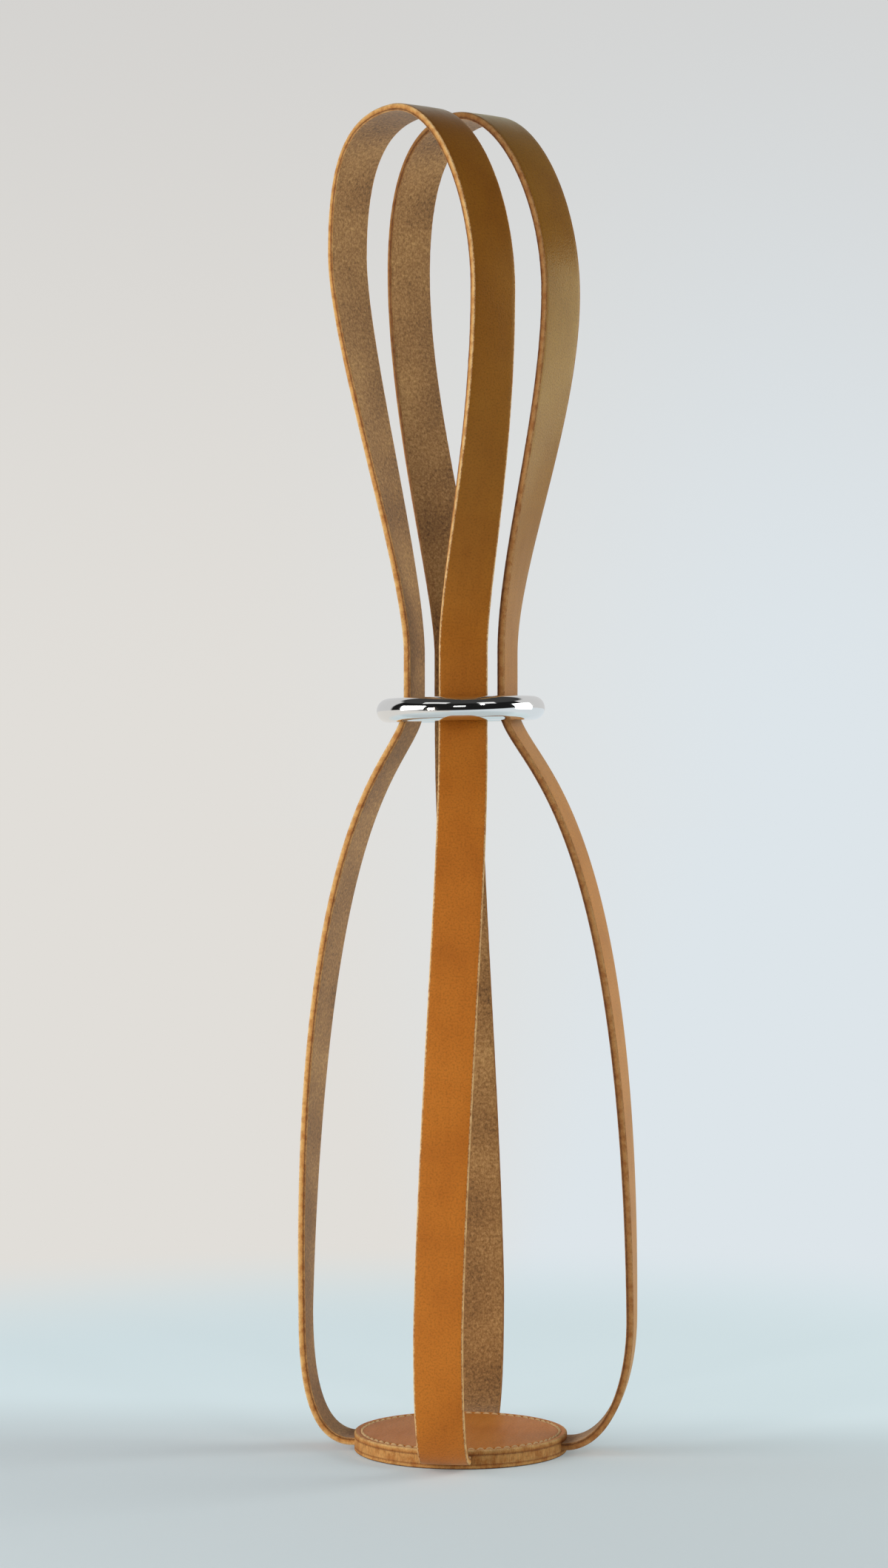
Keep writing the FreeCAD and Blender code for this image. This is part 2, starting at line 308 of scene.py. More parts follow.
# Places of a strap's finishes in its list of materials, and of a disc's in its own
GRAIN, FLESH, EDGE = range(3)
DISC_FACE, DISC_EDGE = range(2)


def line_points(start, stop, steps):
    """Points of a straight stretch of a section, without its last point."""
    points = []
    for step in range(steps):
        points.append(tuple(first + (last - first) * step / steps for first, last in zip(start, stop)))
    return points


def corner_points(centre, radius, start, stop):
    """Points of a round corner of a section from one angle to another, without its last point."""
    across, outward = centre
    points = []
    for step in range(CORNER_STEPS):
        angle = math.radians(start + (stop - start) * step / CORNER_STEPS)
        points.append((across + radius * math.cos(angle), outward + radius * math.sin(angle)))
    return points


def strap_section():
    """The strap's section as points (across, outward) with the finish of the face after each point."""
    half_width = STRAP_WIDTH / 2
    half_thickness = STRAP_THICKNESS / 2
    grain_reach = half_width - GRAIN_CORNER
    grain_level = half_thickness - GRAIN_CROWN - GRAIN_CORNER
    flesh_reach = half_width - FLESH_CORNER
    flesh_level = -half_thickness + FLESH_CORNER
    grain_line = line_points((-grain_reach, half_thickness), (grain_reach, half_thickness), FACE_STEPS)
    grain_face = []
    for across, outward in grain_line:
        grain_face.append((across, outward - GRAIN_CROWN * (across / grain_reach) ** 2))
    stretches = (
        (grain_face, GRAIN),
        (corner_points((grain_reach, grain_level), GRAIN_CORNER, 90, 0), EDGE),
        (line_points((half_width, grain_level), (half_width, flesh_level), EDGE_STEPS), EDGE),
        (corner_points((flesh_reach, flesh_level), FLESH_CORNER, 0, -90), EDGE),
        (line_points((flesh_reach, -half_thickness), (-flesh_reach, -half_thickness), FACE_STEPS), FLESH),
        (corner_points((-flesh_reach, flesh_level), FLESH_CORNER, 270, 180), EDGE),
        (line_points((-half_width, flesh_level), (-half_width, grain_level), EDGE_STEPS), EDGE),
        (corner_points((-grain_reach, grain_level), GRAIN_CORNER, 180, 90), EDGE),
    )
    return [(*point, finish) for points, finish in stretches for point in points]


def section_lengths(section):
    """How far round the section each point lies, with the full way round last."""
    lengths = [0.0]
    for index, (across, outward, _) in enumerate(section):
        next_across, next_outward, _ = section[(index + 1) % len(section)]
        lengths.append(lengths[-1] + math.hypot(next_across - across, next_outward - outward))
    return lengths


def mesh_object(name, vertices, faces, materials, finishes=None):
    """A smooth-shaded object from vertices in millimetres, with a finish index for each face."""
    mesh = bpy.data.meshes.new(name)
    mesh.from_pydata([tuple(value * MM for value in point) for point in vertices], [], faces)
    for material in materials:
        mesh.materials.append(material)
    mesh.polygons.foreach_set("use_smooth", [True] * len(mesh.polygons))
    if finishes:
        mesh.polygons.foreach_set("material_index", finishes)
    mesh.update()
    thing = bpy.data.objects.new(name, mesh)
    bpy.context.scene.collection.objects.link(thing)
    return thing


def point_attribute(thing, name, values):
    """Keeps one number per vertex for a material to read."""
    attribute = thing.data.attributes.new(name, "FLOAT", "POINT")
    attribute.data.foreach_set("value", values)


def band(low, high, count):
    """Faces between two closed rings of points, given by the index that each ring starts at."""
    faces = []
    for corner in range(count):
        nearby = (corner + 1) % count
        faces.append((low + corner, high + corner, high + nearby, low + nearby))
    return faces


def worn_point(side, level, run, shift):
    """A point of the strap's section, moved by the unevenness of the cut edges and the nap."""
    edge_share = limited((abs(side) - STRAP_WIDTH / 2 + EDGE_MARGIN) / EDGE_MARGIN)
    flesh_share = limited(0.5 - level / STRAP_THICKNESS)
    place = Vector((math.copysign(EDGE_NOISE_SIDE, side), run / EDGE_NOISE_RUN, level * EDGE_NOISE_DEPTH))
    wander = edge_share * EDGE_WANDER * noise.noise(place + shift)
    fine_place = Vector((side * NAP_NOISE_ACROSS, run * NAP_NOISE_ALONG, NAP_NOISE_LAYER))
    nap_share = NAP_ON_FACE + (1 - NAP_ON_FACE) * edge_share
    nap = flesh_share * FLESH_WANDER * noise.noise(fine_place + shift) * nap_share
    worn_side = side + math.copysign(wander, side) + edge_share * nap
    return worn_side, level - (1 - edge_share) * nap


def make_strap(strap, materials, seed):
    """One whole strap with rounded, slightly uneven edges."""
    stations = strap_stations(strap)
    section = strap_section()
    count = len(section)
    points = [point for point, _ in stations]
    shift = Vector((seed, SEED_SKEW * seed, 0))
    vertices, depths, upward_shade_and_polish, runs = [], [], [], []
    run = 0.0
    for index, (point, width) in enumerate(stations):
        before = points[max(index - 1, 0)]
        after = points[min(index + 1, len(points) - 1)]
        run += (point - before).length
        runs.append(run)
        tangent = (after - before).normalized()
        across = (width - tangent * width.dot(tangent)).normalized()
        outward = across.cross(tangent)
        for side, level, _ in section:
            worn_side, worn_level = worn_point(side, level, run, shift)
            vertices.append(point + across * worn_side + outward * worn_level)
            depths.append(0.5 - level / STRAP_THICKNESS)
        # painted shade: the straps darken upward towards the handles, where handling also polishes them
        climb = (point.z - UPWARD_SHADE_AND_POLISH_START) / (UPWARD_SHADE_AND_POLISH_FULL - UPWARD_SHADE_AND_POLISH_START)
        upward_shade_and_polish += [ease(limited(climb))] * count

    around = section_lengths(section)
    faces, finishes, uvs = [], [], []
    for ring in range(len(stations) - 1):
        faces += band(ring * count, (ring + 1) * count, count)
        finishes += [finish for _, _, finish in section]
        bottom, top = runs[ring] * MM, runs[ring + 1] * MM
        for corner in range(count):
            left, right = around[corner] * MM, around[corner + 1] * MM
            uvs += [left, bottom, left, top, right, top, right, bottom]
    last = (len(stations) - 1) * count
    for cap in (tuple(range(count)), tuple(last + corner for corner in reversed(range(count)))):
        faces.append(cap)
        finishes.append(EDGE)
        uvs += [0.0] * (2 * count)
    thing = mesh_object(strap + "_strap", vertices, faces, materials, finishes)
    point_attribute(thing, "depth", depths)
    point_attribute(thing, "upward_shade_and_polish", upward_shade_and_polish)
    layer = thing.data.uv_layers.new(name="strap_uv")
    layer.data.foreach_set("uv", uvs)
    return thing


def hole_share(radius, angle):
    """1 in the middle of a stitch hole, falling to 0 round it."""
    step = FULL_TURN / STITCH_COUNT
    along = STITCH_RADIUS * (angle - step * round(angle / step))
    return math.exp(-(((radius - STITCH_RADIUS) ** 2 + along**2) / DIMPLE_RADIUS**2))


def groove_dip(radius, angle, depth):
    """How far the stitching groove and its holes sink the face of a disc at a place."""
    dip = depth * math.exp(-((radius - STITCH_RADIUS) / GROOVE_HALF_WIDTH) ** 2)
    return dip + depth * hole_share(radius, angle)


def rim_point(rounding, turn):
    """How far a rounded rim stands in from the side and from the face, at a turn out from the side."""
    angle = math.radians(turn)
    return rounding * (1 - math.cos(angle)), rounding * (1 - math.sin(angle))


def disc_profile(low, high, top_round, bottom_round):
    """Radius, height and which face (1 top, 0 side, -1 bottom) down a disc's section from its middle."""
    radii = [BASE_RADIUS * share for share in FLAT_SHARES]
    radii += [STITCH_RADIUS + offset for offset in GROOVE_OFFSETS]
    turns = [RIGHT_ANGLE * step / RIM_CORNER_STEPS for step in range(RIM_CORNER_STEPS + 1)]
    side_top, side_bottom = high - top_round, low + bottom_round
    profile = [(radius, high, 1) for radius in radii]
    for turn in reversed(turns):
        inward, down = rim_point(top_round, turn)
        profile.append((BASE_RADIUS - inward, high - down, 0))
    for step in range(1, RIM_SIDE_STEPS):
        profile.append((BASE_RADIUS, side_top + (side_bottom - side_top) * step / RIM_SIDE_STEPS, 0))
    for turn in turns:
        inward, up = rim_point(bottom_round, turn)
        profile.append((BASE_RADIUS - inward, low + up, 0))
    return profile + [(radius, low, -1) for radius in reversed(radii)]


def make_disc(name, low, high, grain_up, groove, materials, seed):
    """One leather disc of the base, with its stitching groove and a fibrous rim."""
    top_round, bottom_round = (RIM_ROUND, SEAM_ROUND) if grain_up else (SEAM_ROUND, RIM_ROUND)
    profile = disc_profile(low, high, top_round, bottom_round)
    grain_face = 1 if grain_up else -1
    steps = STITCH_COUNT * DISC_STEPS_PER_STITCH
    vertices, depths, hole_shades = [], [], []
    for step in range(steps):
        angle = FULL_TURN * step / steps
        cosine, sine = math.cos(angle), math.sin(angle)
        for radius, height, face in profile:
            depths.append((high - height if grain_up else height - low) / (high - low))
            # painted shade in the stitch holes of the grain face
            hole_shades.append(hole_share(radius, angle) if face == grain_face else 0.0)
            if face == 0:
                place = Vector((radius * cosine, radius * sine, height * RIM_NOISE_HEIGHT + seed))
                radius += DISC_EDGE_WANDER * noise.noise(place * RIM_NOISE_SCALE)
            if face == grain_face:
                height -= grain_face * groove_dip(radius, angle, groove)
            vertices.append((radius * cosine, radius * sine, height))
    count = len(profile)
    top_centre, bottom_centre = len(vertices), len(vertices) + 1
    vertices += [(0, 0, high), (0, 0, low)]
    depths += [0.0, 1.0]
    hole_shades += [0.0, 0.0]
    faces, finishes = [], []
    for step in range(steps):
        near, far = step * count, (step + 1) % steps * count
        faces.append((top_centre, near, far))
        finishes.append(DISC_FACE)
        for index in range(count - 1):
            faces.append((near + index, near + index + 1, far + index + 1, far + index))
            both_side = profile[index][2] == 0 and profile[index + 1][2] == 0
            finishes.append(DISC_EDGE if both_side else DISC_FACE)
        faces.append((bottom_centre, far + count - 1, near + count - 1))
        finishes.append(DISC_FACE)
    thing = mesh_object(name, vertices, faces, materials, finishes)
    point_attribute(thing, "depth", depths)
    point_attribute(thing, "hole_shade", hole_shades)
    return thing


def stitch_tube(start, end, level, rise, first_twist):
    """Rings of points along one stitch that comes up at start and goes down at end."""
    chord = end - start
    across = UP.cross(chord).normalized()
    rings = []
    for ring in range(THREAD_RINGS):
        share = ring / (THREAD_RINGS - 1)
        arch = math.sin(math.pi * share) ** STITCH_ARCH
        centre = start.lerp(end, STITCH_START + STITCH_SHARE * share) + UP * (level + rise * arch)
        tilt = math.cos(math.pi * share) * (1 - arch)
        forward = chord.normalized() * (1 - abs(tilt)) + UP * math.copysign(tilt, rise * tilt)
        upward = -forward.normalized().cross(across)
        twist = FULL_TURN * THREAD_TWISTS * share + first_twist
        points = []
        for side in range(THREAD_SIDES):
            angle = FULL_TURN * side / THREAD_SIDES
            ply = abs(math.cos(THREAD_PLIES * (angle - twist) / 2))
            radius = THREAD_RADIUS * (THREAD_VALLEY + (1 - THREAD_VALLEY) * ply)
            offset = across * (radius * math.cos(angle))
            points.append(centre + offset + upward * (radius * math.sin(angle)))
        rings.append(points)
    return rings


def make_stitching(material):
    """All the stitches on both sides of the base, each a short twisted thread."""
    vertices, faces = [], []
    step = 360 / STITCH_COUNT
    sides = (
        (TOP_DISC_HIGH.z - TOP_THREAD_SINK, TOP_THREAD_RISE),
        (BOTTOM_DISC_LOW.z + BOTTOM_THREAD_SINK, -BOTTOM_THREAD_RISE),
    )
    for index in range(STITCH_COUNT):
        start = plan(index * step, STITCH_RADIUS)
        end = plan((index + 1) * step, STITCH_RADIUS)
        for level, rise in sides:
            base = len(vertices)
            for ring in stitch_tube(start, end, level, rise, index * TWIST_STEP):
                vertices += ring
            for ring in range(THREAD_RINGS - 1):
                low = base + ring * THREAD_SIDES
                high = low + THREAD_SIDES
                for side in range(THREAD_SIDES):
                    nearby = (side + 1) % THREAD_SIDES
                    faces.append((low + side, low + nearby, high + nearby, high + side))
            first_cap = tuple(base + side for side in reversed(range(THREAD_SIDES)))
            last_ring = base + (THREAD_RINGS - 1) * THREAD_SIDES
            faces += [first_cap, tuple(last_ring + side for side in range(THREAD_SIDES))]
    return mesh_object("stitching_thread", vertices, faces, [material])


def make_ring(material):
    """The polished ring, resting a little askew."""
    vertices, faces = [], []
    wire = RING_WIRE / 2
    slope = math.tan(math.radians(RING_TILT))
    for step in range(RING_STEPS):
        direction = plan(360 * step / RING_STEPS)
        for side in range(RING_SIDES):
            angle = FULL_TURN * side / RING_SIDES
            point = direction * (RING_RADIUS + wire * math.cos(angle))
            vertices.append(point + UP * (RING_HEIGHT + wire * math.sin(angle) + point.x * slope))
    for step in range(RING_STEPS):
        faces += band(step * RING_SIDES, (step + 1) % RING_STEPS * RING_SIDES, RING_SIDES)
    return mesh_object("polished_ring", vertices, faces, [material])


def linear(red, green, blue):
    """A colour given as it looks on a screen, 0 to 255, in the renderer's own values."""
    channels = []
    for value in (red, green, blue):
        share = value / 255
        channels.append(share / 12.92 if share < 0.04045 else ((share + 0.055) / 1.055) ** 2.4)
    return (*channels, 1.0)


def grey(strength):
    """A grey of a given strength."""
    return (strength, strength, strength, 1.0)


def set_inputs(tree, node, sockets):
    """Sets a node's inputs to values, or links them to other nodes, by name or place."""
    for name, value in sockets.items():
        if isinstance(value, bpy.types.NodeSocket):
            tree.links.new(value, node.inputs[name])
        else:
            node.inputs[name].default_value = value


def add_node(tree, kind, sockets=None, **settings):
    """A node with its settings and its inputs."""
    node = tree.nodes.new(kind)
    for name, value in settings.items():
        setattr(node, name, value)
    set_inputs(tree, node, sockets or {})
    return node


def new_material(name):
    """A material with a plain shader joined to its output, as material, node tree, shader and output."""
    material = bpy.data.materials.new(name)
    material.use_nodes = True
    tree = material.node_tree
    tree.nodes.clear()
    shader = add_node(tree, "ShaderNodeBsdfPrincipled")
    output = add_node(tree, "ShaderNodeOutputMaterial", {"Surface": shader.outputs[0]})
    return material, tree, shader, output


def calculate(tree, operation, first, second, clamp=False):
    """A sum or other calculation on two values."""
    node = add_node(tree, "ShaderNodeMath", {0: first, 1: second}, operation=operation, use_clamp=clamp)
    return node.outputs[0]


def weighted_sum(tree, *terms):
    """The sum of values, each given with its weight."""
    total, *others = [calculate(tree, "MULTIPLY", value, weight) for value, weight in terms]
    for part in others:
        total = calculate(tree, "ADD", total, part)
    return total


def mix_colours(tree, share, first, second, blend="MIX"):
    """Two colours mixed by a share."""
    sockets = {0: share, 6: first, 7: second}
    node = add_node(tree, "ShaderNodeMix", sockets, data_type="RGBA", blend_type=blend)
    return node.outputs[2]


def tinted(tree, colour, tint, share=1.0):
    """A colour multiplied by a tint, as far as a share says."""
    return mix_colours(tree, share, colour, tint, "MULTIPLY")


def ramp(tree, value, stops):
    """Colours along a value, given as (place, colour) stops."""
    node = add_node(tree, "ShaderNodeValToRGB", {"Fac": value})
    elements = node.color_ramp.elements
    while len(elements) < len(stops):
        elements.new(position=0.5)
    for element, (place, colour) in zip(elements, stops):
        element.position = place
        element.color = colour
    return node.outputs[0]


def smooth_range(tree, value, start, stop):
    """Rises smoothly from 0 at a start to 1 at a stop."""
    sockets = {"Value": value, 1: start, 2: stop}
    return add_node(tree, "ShaderNodeMapRange", sockets, interpolation_type="SMOOTHSTEP").outputs[0]


def between(tree, share, low, high):
    """The value at a share of the way from a low one to a high one."""
    return add_node(tree, "ShaderNodeMapRange", {"Value": share, 3: low, 4: high}).outputs[0]


def mapped(tree, coordinates, stretch):
    """Coordinates turned from metres to millimetres and stretched along each axis."""
    sockets = {"Vector": coordinates, "Scale": tuple(value / MM for value in stretch)}
    return add_node(tree, "ShaderNodeMapping", sockets).outputs[0]


def strap_coordinates(tree, stretch):
    """Places on a strap, stretched across and along it."""
    uv = add_node(tree, "ShaderNodeUVMap", uv_map="strap_uv")
    return mapped(tree, uv.outputs[0], stretch)


def solid_coordinates(tree, stretch):
    """Places in a rigid piece, stretched along each axis."""
    place = add_node(tree, "ShaderNodeTexCoord")
    return mapped(tree, place.outputs["Object"], stretch)


def read_attribute(tree, name):
    """A number that was kept for each vertex, or 0 where there is none."""
    return add_node(tree, "ShaderNodeAttribute", attribute_name=name).outputs["Fac"]


def clouds(tree, coordinates, scale, detail=3.0, roughness=0.55, distortion=0.0):
    """Soft noise between 0 and 1 with features of about one over the scale."""
    sockets = {"Vector": coordinates, "Scale": scale, "Detail": detail}
    sockets.update({"Roughness": roughness, "Distortion": distortion})
    return add_node(tree, "ShaderNodeTexNoise", sockets).outputs[0]


def cells(tree, coordinates, scale):
    """Distance to the nearest of scattered points."""
    sockets = {"Vector": coordinates, "Scale": scale}
    return add_node(tree, "ShaderNodeTexVoronoi", sockets).outputs["Distance"]


def bump(tree, height, distance, strength, normal=None):
    """A surface normal raised by a height, over a distance in millimetres."""
    sockets = {"Height": height, "Distance": distance * MM, "Strength": strength}
    if normal:
        sockets["Normal"] = normal
    return add_node(tree, "ShaderNodeBump", sockets).outputs[0]


# Scales that draw a pattern out: not at all, along the grain, along fibres, up the rim, round the ring
EVEN = (1, 1, 1)
GRAIN_STRETCH = (1, 0.18, 1)
FIBRE_STRETCH = (1, 0.7, 1)
RIM_STRETCH = (1, 1, 0.2)
RING_STRETCH = (0.5, 0.5, 4)

# Grain side: its dark, middle and pale tones, and the painted shade that darkens them upward towards the
# handles and in the stitch holes
GRAIN_PLACES = (0.28, 0.50, 0.72)
STRAP_TONES = (linear(177, 97, 26), linear(191, 109, 32), linear(201, 119, 39))
SECOND_STRAP_TONES = (linear(176, 102, 28), linear(190, 115, 35), linear(200, 125, 43))
# The base's tones are paler than the straps', painted light for the base's top face, which the low lamps
# only graze
BASE_TONES = (linear(188, 110, 40), linear(203, 124, 50), linear(213, 136, 60))
FRECKLE_TINTS = ((0.30, grey(0.74)), (0.52, grey(1.0)), (0.70, grey(1.06)))
# painted shade multiplied into the grain towards the handles
UPWARD_PAINTED_SHADE_TINT = (0.55, 0.65, 0.59, 1.0)
# painted shade darkening the grain in the stitch holes
HOLE_SHADE_TINT = (0.30, 0.22, 0.16, 1.0)
SATIN_TINT = (1.0, 0.98, 0.48, 1.0)
SATIN_ROUGHNESS = ((0.25, grey(0.52)), (0.75, grey(0.44)))
HANDLED_POLISH = 0.16
BLOTCH_WEIGHT = 0.75
STREAK_WEIGHT = 0.25
PORE_RELIEF = 0.7
FRECKLE_RELIEF = 0.6


def grain_leather(name, coordinates_for, tones, shine, sheen):
    """The smooth, satin outer side of vegetable-tanned leather."""
    material, tree, shader, _ = new_material(name)
    even = coordinates_for(tree, EVEN)
    long = coordinates_for(tree, GRAIN_STRETCH)
    blotches = clouds(tree, even, scale=0.045)
    streaks = clouds(tree, long, scale=0.35, detail=4.0, roughness=0.6, distortion=0.4)
    pores = cells(tree, even, scale=2.3)
    freckles = clouds(tree, even, scale=1.6, detail=2.0, roughness=0.5)
    upward_shade_and_polish = read_attribute(tree, "upward_shade_and_polish")
    tone = weighted_sum(tree, (blotches, BLOTCH_WEIGHT), (streaks, STREAK_WEIGHT))
    colour = ramp(tree, tone, tuple(zip(GRAIN_PLACES, tones)))
    colour = tinted(tree, colour, ramp(tree, freckles, FRECKLE_TINTS))
    # painted shade darkening the grain upward towards the handles
    colour = tinted(tree, colour, UPWARD_PAINTED_SHADE_TINT, upward_shade_and_polish)
    # painted shade in the stitch holes
    colour = tinted(tree, colour, HOLE_SHADE_TINT, read_attribute(tree, "hole_shade"))
    polish = calculate(tree, "MULTIPLY", upward_shade_and_polish, HANDLED_POLISH)
    relief = weighted_sum(tree, (pores, PORE_RELIEF), (freckles, FRECKLE_RELIEF))
    fine_normal = bump(tree, relief, distance=0.06, strength=0.65)
    set_inputs(tree, shader, {
        "Base Color": colour,
        "Roughness": calculate(tree, "SUBTRACT", ramp(tree, streaks, SATIN_ROUGHNESS), polish),
        "Normal": bump(tree, blotches, distance=0.5, strength=0.12, normal=fine_normal),
        "Specular IOR Level": shine,
        "Specular Tint": SATIN_TINT,
        "Sheen Weight": sheen,
        "Sheen Roughness": 0.35,
        "Sheen Tint": SATIN_TINT,
    })
    return material


# Flesh side: tones of its nap, and the weights of patches, felt, nap and specks
FLESH_TONES = ((0.37, linear(96, 66, 36)), (0.50, linear(162, 117, 67)), (0.63, linear(208, 163, 103)))
SPECK_TINTS = ((0.06, grey(0.45)), (0.17, grey(1.0)))
SPECK_SHARE = 0.7
PATCH_WEIGHT = 0.28
FELT_WEIGHT = 0.26
NAP_WEIGHT = 0.46
NAP_RELIEF = 0.8
SPECK_RELIEF = 0.3


def flesh_leather(name):
    """The napped, speckled inner side of a strap."""
    material, tree, shader, _ = new_material(name)
    even = strap_coordinates(tree, EVEN)
    long = strap_coordinates(tree, FIBRE_STRETCH)
    patches = clouds(tree, even, scale=0.035, detail=2.0, roughness=0.5)
    felt = clouds(tree, even, scale=0.7, roughness=0.6)
    nap = clouds(tree, long, scale=1.5, detail=5.0, roughness=0.7, distortion=0.2)
    specks = cells(tree, even, scale=0.85)
    tone = weighted_sum(tree, (felt, FELT_WEIGHT), (nap, NAP_WEIGHT), (patches, PATCH_WEIGHT))
    colour = ramp(tree, tone, FLESH_TONES)
    relief = weighted_sum(tree, (nap, NAP_RELIEF), (specks, SPECK_RELIEF))
    set_inputs(tree, shader, {
        "Base Color": tinted(tree, colour, ramp(tree, specks, SPECK_TINTS), SPECK_SHARE),
        "Normal": bump(tree, relief, distance=0.22, strength=0.8),
        "Roughness": 0.94,
        "Specular IOR Level": 0.2,
        "Sheen Weight": 0.25,
        "Sheen Roughness": 0.6,
    })
    return material


# Tones of cut edges from the grain side to the flesh side: corner, upper, middle, lower, seam and fringe.
# The pale upper tones, and the top disc's pale corner, are a painted highlight along the grain-side
# corner; the bottom disc's dark corner and upper tones are a painted contact shadow with a dark burnished
# corner.
EDGE_PLACES = (0.02, 0.10, 0.30, 0.60, 0.82, 0.97)
# The first strap's edges: the pale upper tone is a painted highlight along the grain-side corner
STRAP_EDGE_TONES = (
    linear(164, 102, 46), linear(234, 196, 138), linear(224, 174, 106), linear(208, 148, 78),
    linear(110, 64, 32), linear(214, 164, 102),
)
# The second strap's edges: a darker copy of the first strap's tones, painted shade for edges that the
# left-hand lamps hardly reach
SHADED_SECOND_STRAP_EDGE_TONES = (
    linear(150, 94, 42), linear(192, 146, 92), linear(184, 134, 78), linear(170, 116, 60),
    linear(100, 58, 30), linear(174, 126, 74),
)
# The top disc's rim, and the fillers at their fixed depth: the pale corner and upper tones are a painted
# highlight along the top disc's top corner
BASE_EDGE_TONES_WITH_HIGHLIGHT = (
    linear(222, 178, 118), linear(220, 178, 118), linear(208, 156, 90), linear(192, 132, 68),
    linear(146, 92, 44), linear(192, 142, 84),
)
# The bottom disc's rim: the dark corner and upper tones are a painted contact shadow along the bottom,
# together with a dark burnished corner
UNDER_EDGE_TONES_WITH_SHADOW = (
    linear(84, 48, 22), linear(112, 68, 32), linear(206, 154, 88), linear(200, 146, 80),
    linear(156, 100, 48), linear(192, 142, 84),
)
# Marks on cut edges, how far fibres move the tones, and the depth that stands for a whole filler
SCRATCH_TINTS = ((0.34, grey(0.68)), (0.56, grey(1.0)))
STAIN_TINTS = ((0.36, linear(222, 198, 176)), (0.56, grey(1.0)))
PIT_TINTS = ((0.05, grey(0.50)), (0.24, grey(1.0)))
PIT_SHARE = 0.75
PIT_RELIEF = 0.5
FIBRE_WANDER = 0.35
FILLER_DEPTH = 0.40
STRAP_SCRATCHES = 0.35
BASE_SCRATCHES = 0.8


def edge_leather(name, coordinates_for, stretch, tones, scratched, depth=None):
    """A cut edge, toned by its depth from the grain side, with fibres, knife marks, stains and pits."""
    material, tree, shader, _ = new_material(name)
    if depth is None:
        depth = read_attribute(tree, "depth")
    even = coordinates_for(tree, EVEN)
    long = coordinates_for(tree, stretch)
    fibres = clouds(tree, long, scale=1.7, detail=5.0, roughness=0.7, distortion=0.6)
    marks = clouds(tree, long, scale=3.0, roughness=0.6)
    stains = clouds(tree, even, scale=0.30, roughness=0.6)
    pits = cells(tree, even, scale=1.35)
    wander = calculate(tree, "MULTIPLY", calculate(tree, "SUBTRACT", fibres, 0.5), FIBRE_WANDER)
    layer = calculate(tree, "ADD", depth, wander, clamp=True)
    colour = ramp(tree, layer, tuple(zip(EDGE_PLACES, tones)))
    colour = tinted(tree, colour, ramp(tree, marks, SCRATCH_TINTS), scratched)
    colour = tinted(tree, colour, ramp(tree, stains, STAIN_TINTS))
    relief = weighted_sum(tree, (fibres, 1.0), (pits, PIT_RELIEF))
    set_inputs(tree, shader, {
        "Base Color": tinted(tree, colour, ramp(tree, pits, PIT_TINTS), PIT_SHARE),
        "Normal": bump(tree, relief, distance=0.22, strength=0.8),
        "Roughness": 0.78,
        "Specular IOR Level": 0.3,
    })
    return material


THREAD_TONES = ((0.3, linear(190, 150, 98)), (0.7, linear(228, 197, 147)))


def waxed_thread(name):
    """Pale waxed thread with fine fibres."""
    material, tree, shader, _ = new_material(name)
    fibres = clouds(tree, solid_coordinates(tree, EVEN), scale=5.0, detail=4.0, roughness=0.7)
    set_inputs(tree, shader, {
        "Base Color": ramp(tree, fibres, THREAD_TONES),
        "Normal": bump(tree, fibres, distance=0.06, strength=0.6),
        "Roughness": 0.6,
    })
    return material


CHROME = (0.86, 0.86, 0.85, 1)
CHROME_ROUGHNESS = ((0.35, grey(0.035)), (0.75, grey(0.085)))


def polished_metal(name):
    """Chrome-plated wire with faint wiping marks."""
    material, tree, shader, _ = new_material(name)
    marks = clouds(tree, solid_coordinates(tree, RING_STRETCH), scale=0.8, detail=4.0, roughness=0.6)
    set_inputs(tree, shader, {
        "Base Color": CHROME,
        "Metallic": 1.0,
        "Roughness": ramp(tree, marks, CHROME_ROUGHNESS),
        "Normal": bump(tree, marks, distance=0.01, strength=0.15),
    })
    return material


# Backdrop: its colours, and the directions between which they change
BACKDROP_LEFT = linear(225, 222, 217)
BACKDROP_RIGHT = linear(221, 229, 234)
BACKDROP_TOP = linear(209, 208, 206)
BACKDROP_TURN = (-0.20, -0.03)
BACKDROP_RISE = (0.0, 0.3)

# Floor: its colours and glow, and the distances in metres between which they change
FLOOR_COLOUR = linear(238, 246, 250)
FLOOR_BEHIND = linear(222, 241, 246)
FLOOR_IN_FRONT = linear(188, 208, 214)
FLOOR_GLOW_BEHIND = 0.60
FLOOR_GLOW_IN_FRONT = 0.25
FLOOR_FADE = (0.24, 0.52)
FLOOR_TURN = (-0.03, 0.09)
FLOOR_DARKENING = (0.50, 0.85)
FLOOR_WEAVE = 900.0
FLOOR_REACH = 12.0
FLOOR_DROP = 0.00005

# Studio that shiny surfaces reflect, and the directions between which it changes
FRONT_OF_ROOM = grey(0.012)
BACK_OF_ROOM = grey(0.64)
UPPER_STUDIO = grey(0.05)
ROOM_LIGHT = grey(0.16)
BACK_START = 0.20
BACK_FULL = 0.27
UPPER_RISE = (0.64, 0.71)


def backdrop_colour(tree, direction):
    """The pale backdrop's colour, a little warmer on the left and cooler on the right."""
    aside, _, height = add_node(tree, "ShaderNodeSeparateXYZ", {0: direction}).outputs
    colour = mix_colours(tree, smooth_range(tree, aside, *BACKDROP_TURN), BACKDROP_LEFT, BACKDROP_RIGHT)
    return mix_colours(tree, smooth_range(tree, height, *BACKDROP_RISE), colour, BACKDROP_TOP)


